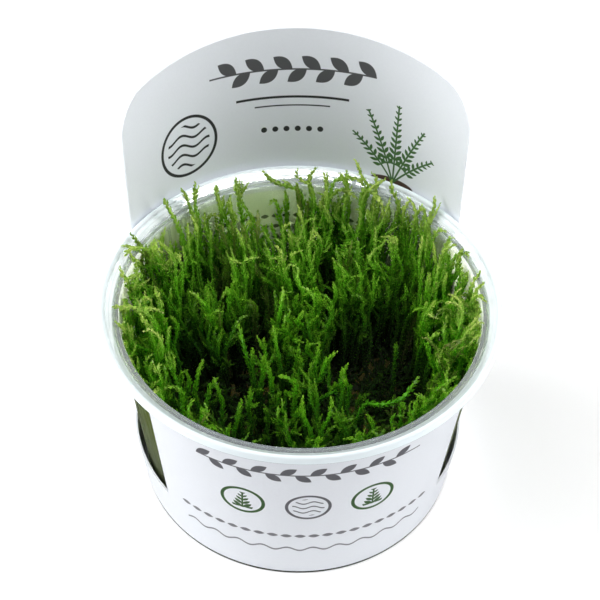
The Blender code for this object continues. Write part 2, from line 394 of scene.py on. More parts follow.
cup = spun("clear_cup", cup_section())
for plastic in (
        # The rim's second colour is the painted shade along its skirt edge and rings
        ("clear_plastic_rim", (0.97, 0.98, 0.975), (0.26, 0.33, 0.29), milky_rim,
         (0.87, 0.945, 0.98, 1.0), 0.0),
        ("clear_plastic_wall", WALL_TINT, WALL_PAINTED_SHADE, green_film, (0.09, 0.12, 0.018, 1.0), 0.8),
        ("clear_plastic_inside", WALL_TINT, WALL_PAINTED_SHADE, wet_film, (0.085, 0.11, 0.025, 1.0), 0.5)):
    cup.data.materials.append(clear_plastic(*plastic))
for face in cup.data.polygons:
    if face.center.z < WALL_TOP * MM:
        inward = face.normal.x * face.center.x + face.normal.y * face.center.y < 0.0
        face.material_index = 2 if inward else 1
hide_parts("cup")
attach(cup, "root")


# The growth gel
# Clear jelly poured warm on the floor of the cup, where it sets with its edge drawn a little up
# the wall. The feet of the shoots stand in it.

GEL_MIDDLE = 8.6
GEL_EDGE = 9.0
# Where the surface starts to rise towards the wall, and how far it is up near the wall
GEL_FLAT_TO = 3.0
GEL_TURN = (1.2, 0.1)
GAP = 0.3
GEL_IOR = 1.34
GEL_RIPPLE = (0.006, 0.0002)


def gel_section():
    bottom = CUP_FLOOR + GAP
    turn = bottom + INNER_ROUND
    yield (0.0, GEL_MIDDLE)
    yield (cup_inside(GEL_EDGE) - GEL_FLAT_TO, GEL_MIDDLE)
    yield (cup_inside(GEL_EDGE) - GEL_TURN[0], GEL_MIDDLE + GEL_TURN[1])
    yield (cup_inside(GEL_EDGE) - GAP, GEL_EDGE)
    yield from arc((cup_inside(turn) - GAP - INNER_ROUND, turn), INNER_ROUND, 0, -90)
    yield (0.0, bottom)


def clear_gel():
    finish = Finish("clear_gel")
    ripple = finish.noise(finish.place(), GEL_RIPPLE[0])
    finish.surface(Base_Color=(0.34, 0.27, 0.13, 1.0), Transmission_Weight=1.0, IOR=GEL_IOR,
                   Roughness=ripple * 0.1 + 0.05)
    finish.relief(ripple, GEL_RIPPLE[1])
    return finish.material


gel = spun("growth_gel_layer", gel_section())
gel.data.materials.append(clear_gel())
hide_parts("growth_gel")
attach(gel, "root")


# The moss
# Slim leafy shoots packed upright in tufts: each a thread of a stem with small pointed leaves
# laid over one another along it, forking near the top. One mesh a tuft, joined from arrays.

MOSS_FOOT = 8.8
TUFT_BASE = 9.3
# Each ring: radius, half width and half depth, then for its tufts the tip heights, the heights
# that most shoots reach and how full they are, from the front round by the right
WALL_RING = (35.8, 5.7, 3.6,
             (46, 45, 47, 50, 57, 59, 60, 61, 66, 66, 65, 66, 66, 60, 59, 53, 49, 46),
             (43, 42, 45, 49, 54, 55, 57, 58, 57, 52, 47, 55, 58, 56, 55, 51, 47, 40),
             (9, 10, 10, 10, 10, 10, 10, 10, 10, 8, 6, 9, 10, 10, 10, 10, 10, 3))
MIDDLE_RING = (25.2, 5.7, 6.2,
               (44, 44, 38, 24, 18, 55, 58, 58, 50, 32, 48, 44),
               (38, 38, 33, 18, 15, 50, 54, 52, 47, 22, 34, 34),
               (4, 5, 3, 5, 5, 10, 10, 10, 10, 5, 2, 2))
INNER_RING = (11.9, 6.0, 5.9, (48, 24, 52, 22, 47), (42, 18, 47, 17, 38), (3, 5, 9, 5, 2))
CENTRE_TUFT = (0.0, 4.7, 4.7, (50,), (43,), (7,))
INNER_START = 36.0
# Single shoots that stand out from a tuft: the places each passes through
PICKED_SHOOTS = {
    ("wall", 5): (((44, -3, 47), (45, -4, 52), (46, -5, 56)),
        ((35, -3, 36), (33, -5, 44), (32, -4, 48), (34, -3, 50), (35, -2, 49)),
        ((39, -5, 38), (37, -4, 46), (36, -2, 50), (37, 2, 52)),),
    ("wall", 6): (((43, 10, 49), (44, 10, 54), (45, 11, 57), (45, 11, 59)),
        ((45, 6, 49), (46, 7, 54), (46, 8, 58)),),
    ("wall", 7): (((34, 28, 51), (35, 28, 56), (36, 27, 58), (37, 26, 58)),
        ((38, 22, 51), (37, 22, 56), (38, 23, 59), (39, 23, 59)),
        ((41, 17, 51), (40, 18, 55), (41, 19, 58), (41, 19, 59)),),
    ("wall", 8): (((27, 37, 52), (25, 38, 57), (23, 40, 60), (23, 41, 62)),
        ((29, 37, 50), (28, 38, 56), (28, 38, 58)),
        ((31, 35, 50), (30, 34, 56), (31, 35, 59)),),
    ("wall", 9): (((7, 40, 58), (8, 41, 61), (11, 40, 63), (14, 40, 63), (16, 39, 61)),
        ((11, 40, 59), (11, 42, 61), (11, 42, 64)),
        ((16, 37, 47), (16, 38, 56), (17, 39, 61), (15, 40, 64), (14, 42, 66), (13, 43, 67)),
        ((17, 38, 61), (19, 38, 63), (21, 38, 65)),
        ((17, 38, 61), (19, 37, 60), (21, 36, 57)),),
    ("wall", 10): (((-2, 42, 57), (-5, 42, 58), (-9, 41, 61), (-11, 41, 64)),
        ((1, 39, 33), (1, 40, 46), (2, 41, 56), (1, 41, 60), (-2, 42, 61), (-2, 43, 63)),
        ((2, 41, 58), (1, 42, 60), (2, 43, 62), (3, 43, 64)),
        ((1, 38, 31), (-1, 39, 42), (-1, 41, 52), (-2, 42, 59)),
        ((6, 40, 46), (6, 41, 55), (6, 42, 59), (6, 43, 62)),
        ((7, 39, 57), (9, 40, 59), (12, 39, 59), (14, 39, 57)),),
    ("wall", 11): (((-16, 38, 45), (-17, 38, 54), (-18, 39, 59), (-18, 39, 63)),),
    ("wall", 12): (((-20, 35, 49), (-22, 35, 56), (-23, 36, 60), (-23, 36, 63)),
        ((-28, 31, 52), (-30, 33, 58), (-31, 33, 62), (-32, 33, 64)),
        ((-32, 28, 52), (-34, 29, 58), (-36, 30, 62), (-36, 29, 64)),
        ((-25, 30, 49), (-26, 31, 53), (-26, 32, 57)),),
    ("wall", 13): (((-37, 17, 53), (-39, 16, 58), (-42, 15, 60), (-44, 14, 60), (-45, 14, 58)),
        ((-39, 17, 51), (-41, 15, 53), (-43, 14, 56), (-44, 14, 59)),
        ((-39, 16, 54), (-38, 16, 58), (-38, 17, 60)),),
    ("wall", 14): (((-43, 9, 51), (-45, 7, 54), (-46, 8, 57), (-46, 9, 59)),),
    ("wall", 15): (((-38, -5, 57), (-41, -5, 59), (-44, -6, 60), (-46, -6, 60)),),
    ("middle", 1): (((4, -24, 28), (3, -25, 38), (1, -24, 44), (1, -22, 47)),
        ((5, -24, 28), (6, -25, 38), (8, -24, 44), (8, -22, 47)),
        ((1, -26, 30), (-2, -27, 36), (-3, -25, 40), (-3, -23, 42)),),
    ("middle", 2): (((15, -17, 34), (17, -16, 38), (20, -18, 40), (25, -18, 42), (30, -11, 43)),
        ((18, -23, 30), (19, -24, 38), (17, -24, 43)),
        ((14, -23, 30), (17, -25, 36), (20, -25, 40)),),
    ("middle", 4): (((24, 4, 14), (25, 4, 22), (25, 5, 30), (25, 5, 38)),),
    ("middle", 11): (((-25, -13, 30), (-26, -14, 38), (-25, -12, 44), (-24, -10, 46)),
        ((-24, -16, 28), (-23, -17, 38), (-22, -15, 42), (-20, -15, 45)),
        ((-19, -18, 30), (-19, -17, 38), (-20, -17, 43), (-21, -15, 45)),),
    ("middle", 12): (((-16, -22, 30), (-15, -22, 38), (-14, -20, 43)),),
    ("inner", 1): (((2, -8, 26), (4, -7, 34), (4, -6, 40), (5, -3, 46)),
        ((4, -8, 34), (6, -8, 40), (7, -8, 45), (9, -8, 48)),
        ((2, -11, 30), (6, -12, 35), (10, -12, 39), (11, -11, 43), (12, -10, 46)),),
    ("inner", 5): (((-8, -4, 14), (-11, -5, 24), (-10, -7, 32), (-9, -8, 40), (-9, -8, 46)),
        ((-11, -5, 26), (-12, -5, 34), (-14, -3, 42), (-16, 3, 46)),
        ((-11, -6, 30), (-12, -5, 38), (-12, -5, 45)),
        ((-7, -6, 16), (-7, -7, 28), (-7, -11, 40), (-8, -10, 46)),
        ((-1, -16, 40), (-1, -16, 45), (-3, -15, 46), (-5, -13, 44)),),
    ("centre", 1): (((-4, -2, 22), (-5, -2, 34), (-6, -1, 42), (-7, 2, 46)),),
}
# Old shoots that have gone brown, placed in the same way
OLD_SHOOTS = {
    ("wall", 7): (((30, 19, 28), (31, 18, 36), (31, 18, 42), (32, 23, 50)),),
    ("wall", 10): (
        ((2, 33, 24), (1, 35, 34), (0, 36, 40), (-1, 38, 45), (-1, 40, 53), (-2, 41, 59)),
        ((4, 33, 22), (2, 35, 30), (1, 38, 44), (1, 40, 55)),),
    ("wall", 12): (((-18, 27, 44), (-18, 27, 48), (-18, 28, 52), (-19, 29, 57)),),
    ("wall", 14): (((-37, 7, 38), (-37, 6, 42), (-37, 6, 45)),),
    ("middle", 8): (((-12, 15, 30), (-12, 14, 36), (-12, 12, 42), (-13, 11, 46)),
        ((-14, 27, 44), (-15, 27, 48), (-15, 27, 52), (-16, 28, 57)),
        ((-11, 26, 42), (-12, 28, 48), (-12, 29, 52), (-12, 34, 56)),),
    ("middle", 9): (((-20, 11, 30), (-21, 9, 36), (-21, 7, 42), (-21, 8, 46)),),
}
PICKED_SIZE = 1.3
OLD_SIZE = 1.45
ROOT_SHARE = 0.93
ROOT_DROP = 15.0
SHOOT_SPACING = 1.6
BUNDLE = 6
# Steps that spread the bundles evenly over a footprint
SPREAD_STEP = np.array((0.7549, 0.5698))
FOOTPRINT_SHARE = 0.86
# How far a bundle drifts sideways between the knots of its shoots, which stand at these shares
KNOT_SHARES = (0.3, 0.55, 0.73, 0.87, 1.0)
BUNDLE_DRIFT = np.array((0.6, 0.7, 0.8, 0.9, 1.0))[:, None]
SHOOT_SWAY = 0.7
SHOOT_SCATTER = 0.9
OUTER_ROW = 2.5
STEM_STEP = 2.0
STEM_RADIUS = 0.26
LEAF_STEP = 0.3
LEAF_LENGTH = 1.3
LEAF_WIDTH = 0.86
TIP_TAPER = 3.0
MAT_SHOOTS = 19
MAT_SIZE = 1.7
MAT_SWAY = 2.6
# How far a curled tip goes sideways and up, step by step, and how many steps the shoots take
TIP_CURL = ((1.4, 0.9), (1.4, 0.1), (1.0, -0.8))
FRONT_CURLS = (0, 1, 2, 3, 3)
OTHER_CURLS = (0, 0, 0, 0, 1, 2)
SIDE_OPENING = 0.6
FACE_OPENING = 0.5
# The room inside the cup: heights and the radius of the wall, collar and rim there
ROOM_HEIGHTS = (MOSS_FOOT, STEP_LOW, STEP_HIGH, NECK_TOP, 56.4, 57.2, 58.4, 59.4)
ROOM_RADII = (cup_inside(MOSS_FOOT), cup_inside(STEP_LOW), 44.88, NECK_RADIUS, 45.4, 47.0, 49.0,
              50.0)
ROOM_CLEARANCE = 0.75
# Colours up the moss, from painted shade at its foot to painted light at its top, then those mixed
# over them
MOSS_LIGHT = (0.010, 0.056)
MOSS_GREENS = [(0.0, (0.014, 0.010, 0.002)), (0.22, (0.012, 0.060, 0.002)),
               (0.55, (0.06, 0.28, 0.009)), (0.82, (0.15, 0.56, 0.018)),
               (1.0, (0.28, 0.82, 0.035))]
# Young green and tip yellow are the shoots' own colours, made stronger higher up as painted light
YOUNG_GREEN = (0.40, 0.64, 0.05)
# Painted light on the back of the moss
BACK_PAINTED_LIGHT = (0.42, 0.90, 0.07)
# Painted shade on the left of the moss
LEFT_PAINTED_SHADE = (0.02, 0.12, 0.003)
TIP_YELLOW = (0.86, 0.95, 0.26)
OLD_BROWN = (0.16, 0.14, 0.05)
LEAF_SHADE = (0.02, 0.13, 0.002)
GLOW_GREEN = (0.19, 0.51, 0.012, 1.0)


def spread(height):
    """How much wider the cup is at this height than at the foot of the moss."""
    return cup_inside(height) / cup_inside(TUFT_BASE)


def unit(vectors):
    return vectors / np.maximum(np.linalg.norm(vectors, axis=-1, keepdims=True), 1e-9)


def lengths_along(path):
    steps = np.linalg.norm(np.diff(path, axis=0), axis=1)
    return np.concatenate([[0.0], np.cumsum(steps)])


def keep_inside(path):
    """Moves the points that would touch the cup back inside it."""
    limit = np.interp(path[:, 2], ROOM_HEIGHTS, ROOM_RADII) - ROOM_CLEARANCE
    radius = np.hypot(path[:, 0], path[:, 1])
    held = path.copy()
    held[:, :2] *= np.minimum(1.0, limit / np.maximum(radius, 1e-6))[:, None]
    held[:, 2] = np.maximum(held[:, 2], MOSS_FOOT)
    return held


def curve_through(knots):
    """Points about STEM_STEP apart on a smooth curve through the knots."""
    at = lengths_along(knots)
    count = max(int(at[-1] / STEM_STEP), 4)
    where = np.linspace(0.0, at[-1], count + 1)
    slopes = np.gradient(knots, at, axis=0)
    row = np.clip(np.searchsorted(at, where, side="right") - 1, 0, len(at) - 2)
    span = (at[row + 1] - at[row])[:, None]
    t = (where - at[row])[:, None] / span
    return ((2 * t ** 3 - 3 * t ** 2 + 1) * knots[row]
            + (t ** 3 - 2 * t ** 2 + t) * span * slopes[row]
            + (3 * t ** 2 - 2 * t ** 3) * knots[row + 1]
            + (t ** 3 - t ** 2) * span * slopes[row + 1])


def in_scene(name, data):
    made = bpy.data.objects.new(name, data)
    bpy.context.scene.collection.objects.link(made)
    return made


class Tuft:
    """Collects stems and leaves as arrays of points, faces and growth, and joins them."""

    def __init__(self, seed):
        self.rng = np.random.default_rng(seed)
        self.layout = np.random.default_rng([*seed, 1])
        self.points = []
        self.faces = []
        self.growth = []
        self.count = 0

    def add(self, points, faces, growth):
        self.points.append(points)
        self.faces.append(faces + self.count)
        self.growth.append(growth)
        self.count += len(points)

    def stem(self, path, tangents, side, left, radius, tone):
        """A three-sided stem that closes in a point at both ends."""
        face = np.cross(tangents, side)
        turns = np.arange(3) * math.tau / 3
        ring = (side[:, None] * np.cos(turns)[None, :, None]
                + face[:, None] * np.sin(turns)[None, :, None])
        thick = radius * np.clip(left / 4.0 + 0.2, 0.0, 1.0)
        points = (path[:, None] + ring * thick[:, None, None]).reshape(-1, 3)
        rows = len(path) - 1
        first = np.arange(rows * 3)
        turned = first + np.where(first % 3 == 2, -2, 1)
        faces = [np.stack([first, turned, turned + 3], 1),
                 np.stack([first, turned + 3, first + 3], 1)]
        corner, after = np.arange(3), (np.arange(3) + 1) % 3
        foot, tip = len(points), len(points) + 1
        faces.append(np.stack([np.full(3, foot), after, corner], 1))
        faces.append(np.stack([np.full(3, tip), rows * 3 + corner, rows * 3 + after], 1))
        points = np.vstack([points, path[:1], path[-1:] + tangents[-1:] * 0.2])
        ages = np.concatenate([np.repeat(left, 3), left[:1], left[-1:]])
        growth = np.stack([ages, np.full(len(ages), tone), np.zeros(len(ages))], 1)
        self.add(points, np.vstack(faces), growth)

    def leaves(self, path, tangents, side, along, start, size, tone):
        """Small folded leaves, two ranks at the sides and two closer ones on the faces."""
        rng = self.rng
        places = np.arange(start, along[-1] - 0.05, LEAF_STEP * size)
        if len(places) < 2:
            return
        count = len(places)
        places = places + rng.uniform(-0.35, 0.35, count) * LEAF_STEP

        def read(values):
            return np.stack([np.interp(places, along, values[:, i]) for i in range(3)], 1)

        foot, forward, side = read(path), unit(read(tangents)), read(side)
        face = unit(np.cross(forward, side))
        side = np.cross(face, forward)
        rank = np.arange(count) % 4
        on_face = rank % 2 == 1
        turn = np.choose(rank, (0.0, math.pi / 2, math.pi, -math.pi / 2))
        turn = turn + rng.normal(0.0, 0.3, count)
        left = along[-1] - places
        young = np.clip(left / TIP_TAPER, 0.0, 1.0)
        opening = np.where(on_face, FACE_OPENING, SIDE_OPENING) * (0.35 + 0.65 * young)
        opening *= rng.uniform(0.65, 1.35, count)
        out = np.cos(turn)[:, None] * side + np.sin(turn)[:, None] * face
        aim = np.cos(opening)[:, None] * forward + np.sin(opening)[:, None] * out
        wide = unit(np.cross(aim, out))
        back = np.cross(wide, aim)
        back *= np.sign((back * out).sum(1))[:, None]
        long = size * LEAF_LENGTH * (0.4 + 0.6 * young) * rng.uniform(0.8, 1.15, count)
        half = 0.5 * size * LEAF_WIDTH * (0.45 + 0.55 * young) * rng.uniform(0.8, 1.2, count)
        base = foot + out * STEM_RADIUS * size * 0.6
        middle = base + aim * (0.4 * long)[:, None] + back * (0.1 * long)[:, None]
        edge = wide * half[:, None]
        fold = back * (0.55 * half)[:, None]
        tip = base + aim * long[:, None] - out * (0.12 * long)[:, None]
        points = np.stack([base, middle + edge - fold, tip, middle - edge - fold], 1)
        first = np.arange(count) * 4
        faces = np.concatenate([np.stack([first, first + 1, first + 2], 1),
                                np.stack([first, first + 2, first + 3], 1)])
        growth = np.stack([left, np.full(count, tone), rng.random(count)], 1)
        self.add(points.reshape(-1, 3), faces, np.repeat(growth, 4, axis=0))

    def leafy(self, knots, size, tone, start):
        """One unforked length of shoot. Returns its points and directions."""
        path = keep_inside(curve_through(np.array(knots)))
        along = lengths_along(path)
        tangents = unit(np.gradient(path, axis=0))
        guide = unit(np.cross(tangents.sum(0), self.rng.normal(size=3)))
        side = unit(guide - (tangents @ guide)[:, None] * tangents)
        left = along[-1] - along
        self.stem(path, tangents, side, left, STEM_RADIUS * size, tone)
        self.leaves(path, tangents, side, along, start, size, tone)
        return path, tangents

    def shoot(self, knots, size, tone, start=0.0, forks=0, reach=9.0, low=0.4):
        """A leafy shoot through the knots, with forks along its upper part."""
        rng = self.rng
        path, tangents = self.leafy(keep_inside(np.array(knots, float)), size, tone, start)
        last = len(path) - 1
        for place in rng.uniform(low, 0.93, forks):
            row = min(max(int(place * last), 1), last - 1)
            forward = tangents[row]
            out = unit(np.cross(forward, rng.normal(size=3)))
            length = reach * rng.uniform(0.45, 1.0) * (1.25 - 0.7 * place)
            angle = rng.uniform(0.4, 0.95)
            aim = forward * math.cos(angle) + out * math.sin(angle)
            bend = unit(aim + forward * rng.uniform(0.2, 1.5) + rng.normal(0.0, 0.3, 3))
            middle = path[row] + aim * length * 0.45
            self.leafy([path[row], middle, middle + bend * length * 0.55], size * 0.9, tone, 0.3)

    def joined(self, name, material):
        """The tuft as one mesh, in metres."""
        mesh = bpy.data.meshes.new(name)
        points = np.vstack(self.points) * MM
        faces = np.vstack(self.faces)
        mesh.vertices.add(len(points))
        mesh.vertices.foreach_set("co", points.astype(np.float32).ravel())
        mesh.loops.add(faces.size)
        mesh.loops.foreach_set("vertex_index", faces.astype(np.int32).ravel())
        mesh.polygons.add(len(faces))
        mesh.polygons.foreach_set("loop_start", np.arange(0, faces.size, 3, dtype=np.int32))
        mesh.update(calc_edges=True)
        held = mesh.attributes.new("growth", "FLOAT_VECTOR", "POINT")
        held.data.foreach_set("vector", np.vstack(self.growth).astype(np.float32).ravel())
        mesh.materials.append(material)
        return in_scene(name, mesh)


def fill_tuft(tuft, azimuth, ring, tip_height, bulk, fullness):
    """Fills one tuft's footprint with bundles of shoots, one of them up to its tip height."""
    radius, half_width, half_depth = ring
    at_wall = radius == WALL_RING[0]
    rng = tuft.layout
    start = rng.random(2)
    area = 4 * half_width * half_depth * FOOTPRINT_SHARE
    count = int(area * spread(tip_height) / SHOOT_SPACING ** 2 * fullness / 10)
    turn = math.radians(azimuth)
    across = np.array([math.cos(turn), math.sin(turn)])
    inward = np.array([-math.sin(turn), math.cos(turn)])
    curls = FRONT_CURLS if at_wall and math.cos(turn) > -0.4 else OTHER_CURLS

    def placed(offset, height):
        flat = across * offset[0] + inward * (offset[1] - radius)
        return (*(flat * spread(max(height, TUFT_BASE))), height)

    for number in range(count):
        if number % BUNDLE == 0:
            share = 2.0 * ((start + number // BUNDLE * SPREAD_STEP) % 1.0) - 1.0
            # Six drifts are drawn, of which the shoots take five
            drift = rng.normal(0.0, 1.0, (6, 2))[:5] * BUNDLE_DRIFT
            tone = rng.random()
        offset = share * (half_width, half_depth) + rng.normal(0.0, SHOOT_SCATTER, 2)
        if at_wall and number % 3 == 2:
            offset[1] = -half_depth - OUTER_ROW
        tall = bulk * rng.uniform(0.78, 1.05) if number else tip_height
        rise = min(tall, tip_height) - MOSS_FOOT
        knots = [placed(offset * 0.85, MOSS_FOOT)]
        for part, lean in zip(KNOT_SHARES, drift):
            offset = offset + lean + rng.normal(0.0, SHOOT_SWAY, 2)
            knots.append(placed(offset, MOSS_FOOT + rise * part))
        curl = rng.uniform(-math.pi, math.pi)
        height = MOSS_FOOT + rise
        for out, lift in TIP_CURL[:rng.choice(curls) if number else 0]:
            curl += rng.normal(0.0, 0.5)
            out *= rng.uniform(0.7, 1.3)
            offset = offset + out * np.array([math.cos(curl), math.sin(curl)])
            height += lift
            knots.append(placed(offset, height))
        bare = rng.uniform(0.0, 5.0) if at_wall else rise * rng.uniform(0.0, 0.4)
        tuft.shoot(knots, size=rng.uniform(0.85, 1.25), tone=tone, start=bare,
                   forks=rng.integers(1, 5), reach=min(9.0, 0.25 * rise), low=0.45)
    for _ in range(MAT_SHOOTS):
        offset = rng.uniform(-1, 1, 2) * (half_width, half_depth)
        knots = [placed(offset, MOSS_FOOT)]
        for height in (10.5, 12.5, 13.5 + rng.uniform(0.0, 3.0)):
            offset = offset + rng.normal(0.0, MAT_SWAY, 2)
            knots.append(placed(offset, height))
        tuft.shoot(knots, size=MAT_SIZE, tone=0.5)


def add_picked(tuft, shoots, size, old=False):
    """The shoots that pass through chosen places, each rooted lower in its tuft."""
    for places in shoots:
        x, y, z = places[0]
        root = (ROOT_SHARE * x, ROOT_SHARE * y, max(z - ROOT_DROP, MOSS_FOOT))
        tone = tuft.rng.uniform(0.3, 0.8)
        tuft.shoot([root, *places], size=size, tone=1.0 if old else tone,
                   forks=tuft.rng.integers(0, 3), reach=4.0)


def green_moss():
    """Growth holds the millimetres left to the tip, the shoot's tone and the leaf's shade."""
    finish = Finish("green_moss")
    left, tone, shade = finish.parts(
        finish.node("ShaderNodeAttribute", {"attribute_name": "growth"}, output="Vector"))
    across, along, height = finish.parts(finish.place())
    # Painted light and shade by height: dark low in the moss, bright at its top
    level = height.ramp(*MOSS_LIGHT)
    colour = finish.node("ShaderNodeValToRGB", {"stops": MOSS_GREENS}, level)
    for share, tint in (
            # Young tips are paler green, more so higher up, where it is painted light
            ((1.0 - left.ramp(0.0, 7.0)) * level * 0.8, YOUNG_GREEN),
            # Painted light: brighter green towards the back
            (along.ramp(0.0, 0.03) * level * 0.85, BACK_PAINTED_LIGHT),
            # Painted shade: darker towards the left
            ((0.0 - across).ramp(0.014, 0.034) * 0.06, LEFT_PAINTED_SHADE),
            # Tips near the rim turn yellow-green: their own colour, strengthened high up as
            # painted light
            ((1.0 - left.ramp(0.0, 20.0)) * height.ramp(0.046, 0.058) * 0.95, TIP_YELLOW),
            (tone.ramp(0.94, 0.98) * 0.75, OLD_BROWN), (shade * 0.6, LEAF_SHADE)):
        colour = finish.mixed(share, colour, tint)
    finish.surface(Base_Color=colour, Roughness=0.75 + shade * 0.2 - level * 0.47,
                   Specular_IOR_Level=0.12)
    finish.cover(0.4, GLOW_GREEN, "ShaderNodeBsdfTranslucent")
    return finish.material


moss_material = green_moss()
for label, ring, start in (("wall", WALL_RING, 0.0), ("middle", MIDDLE_RING, 0.0),
                           ("inner", INNER_RING, INNER_START), ("centre", CENTRE_TUFT, 0.0)):
    for number, (tip_height, bulk, fullness) in enumerate(zip(*ring[3:]), start=1):
        tuft = Tuft([number, len(label)])
        azimuth = start + 360.0 * (number - 1) / len(ring[3])
        fill_tuft(tuft, azimuth, ring[:3], tip_height, bulk, fullness)
        add_picked(tuft, PICKED_SHOOTS.get((label, number), ()), PICKED_SIZE)
        add_picked(tuft, OLD_SHOOTS.get((label, number), ()), OLD_SIZE, old=True)
        shoots = tuft.joined(f"shoots_{label}_{number:02d}", moss_material)
        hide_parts(f"moss_{label}_{number:02d}")
        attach(shoots, "root")


# The card sleeve
# One die-cut blank of smooth white card, printed, rolled to a cone and glued: a low band all
# round, a front panel up to the skirt, open side windows and a tall arched header at the back.

CARD = 0.5
SLEEVE_BASE_RADIUS = 40.8
SLEEVE_BOTTOM = 0.8
BAND_TOP = 14.5
FRONT_TAPER = 0.111
FRONT_TOP = 54.0
FRONT_HALF_ANGLE = 53.4
FRONT_CORNER = 3.5
BACK_TAPER = 0.174
BACK_TOP = 98.0
BACK_HALF_ANGLE = 57.2
BACK_CORNER = 8.0
BACK_ARCH_RADIUS = 164.0
SLEEVE_TURN = 4.0
PANEL_COLUMNS = 72
SIDE_COLUMNS = 24
CORNER_STEPS = 8
BAND_ROWS = 2
PANEL_ROWS = 6
HEADER_ROWS = 6
CARD_WHITES = ((0.78, 0.805, 0.85), (0.82, 0.845, 0.89))
INK_EDGE = 0.07
GREY_INK = (0.13, 0.13, 0.145)
SOFT_INK = (0.075, 0.075, 0.08)
PALE_INK = (0.2, 0.2, 0.22)
BLACK_INK = (0.012, 0.012, 0.014)
GREEN_INK = (0.045, 0.13, 0.03)
BROWN_INK = (0.06, 0.03, 0.015)


def sleeve_inside(from_front, height):
    """Inner radius of the card, steeper at the back, where it stands outside the rim."""
    away = abs((from_front + 180.0) % 360.0 - 180.0)
    side = (away - FRONT_HALF_ANGLE) / (180.0 - FRONT_HALF_ANGLE - BACK_HALF_ANGLE)
    share = min(max(side, 0.0), 1.0)
    smooth = share * share * (3.0 - 2.0 * share)
    return SLEEVE_BASE_RADIUS + (FRONT_TAPER + (BACK_TAPER - FRONT_TAPER) * smooth) * height


def corner_drop(offset, half_width, corner):
    """How far a panel's top edge falls at its rounded corners."""
    past = abs(offset) - (half_width - corner)
    return corner - math.sqrt(max(corner ** 2 - past ** 2, 0.0)) if past > 0.0 else 0.0


def panel_shares(corner_share):
    """Places across a panel from -1 to 1, closer together on its rounded corners."""
    flat = 1.0 - corner_share
    corners = [flat + corner_share * math.sin(math.radians(90.0 * step / CORNER_STEPS))
               for step in range(CORNER_STEPS + 1)]
    middle = [flat * (2.0 * step / PANEL_COLUMNS - 1.0) for step in range(1, PANEL_COLUMNS)]
    return [-share for share in reversed(corners)] + middle + corners


def heights_between(low, high, rows):
    return [low + (high - low) * step / rows for step in range(1, rows + 1)]


FRONT_HALF_WIDTH = math.radians(FRONT_HALF_ANGLE) * sleeve_inside(0.0, FRONT_TOP)


def front_column(share):
    """The azimuth of a place across the front panel, and the panel's top edge there."""
    drop = corner_drop(share * FRONT_HALF_WIDTH, FRONT_HALF_WIDTH, FRONT_CORNER)
    return share * FRONT_HALF_ANGLE, FRONT_TOP - drop


def back_column(share):
    """The azimuth of a place across the back panel, the rim's height and the header's there."""
    rim_level = CUP_HEIGHT - SKIRT_DEPTH
    half_width = math.radians(BACK_HALF_ANGLE) * sleeve_inside(180.0, rim_level)
    offset = share * half_width
    arch = BACK_ARCH_RADIUS - math.sqrt(BACK_ARCH_RADIUS ** 2 - offset ** 2)
    top = BACK_TOP - arch - corner_drop(offset, half_width, BACK_CORNER)
    return 180.0 + share * BACK_HALF_ANGLE, rim_level, top


def column_points(angle, panel_top=None, header_top=None):
    """The (azimuth from the front, height) places up one column of the card."""
    heights = [SLEEVE_BOTTOM, *heights_between(SLEEVE_BOTTOM, BAND_TOP, BAND_ROWS)]
    if panel_top is not None:
        heights += heights_between(BAND_TOP, panel_top, PANEL_ROWS)
    points = [(angle, height) for height in heights]
    if header_top is not None:
        # The header closes in as it rises, so that it keeps its width
        rim_radius = sleeve_inside(180.0, panel_top)
        for height in heights_between(panel_top, header_top, HEADER_ROWS):
            closing = rim_radius / sleeve_inside(180.0, height)
            points.append((180.0 + (angle - 180.0) * closing, height))
    return points


